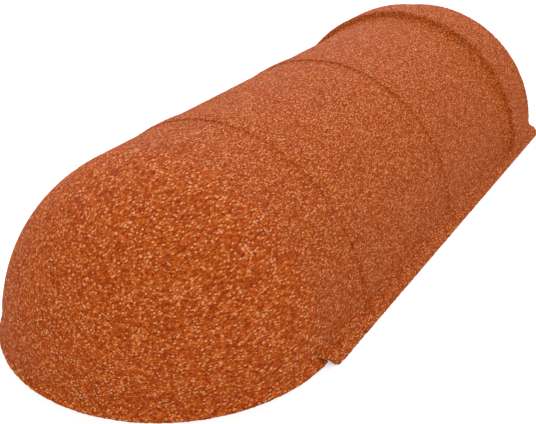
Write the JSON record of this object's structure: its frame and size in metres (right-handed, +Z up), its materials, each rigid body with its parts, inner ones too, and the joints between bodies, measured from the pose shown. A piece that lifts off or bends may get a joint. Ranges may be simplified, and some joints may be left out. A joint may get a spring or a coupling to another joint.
{
  "type": "hip starter tile",
  "caption": "Half-round hip starter cap of stone-coated steel, with a rounded closed nose, raised bands, an end collar and a folded lip along each side.",
  "frame": {"origin": "middle of the footprint, on the ground plane", "axes": "+Y along the barrel from the closed nose to the open tail, +Z up through the crown"},
  "size_m": [0.2184, 0.486, 0.1065],
  "materials": {
    "stone_coat": "matte stone granules bonded to pressed steel sheet, terracotta"
  },
  "bodies": {
    "root": {"hip_starter": "stone_coat"}
  },
  "joints": []
}
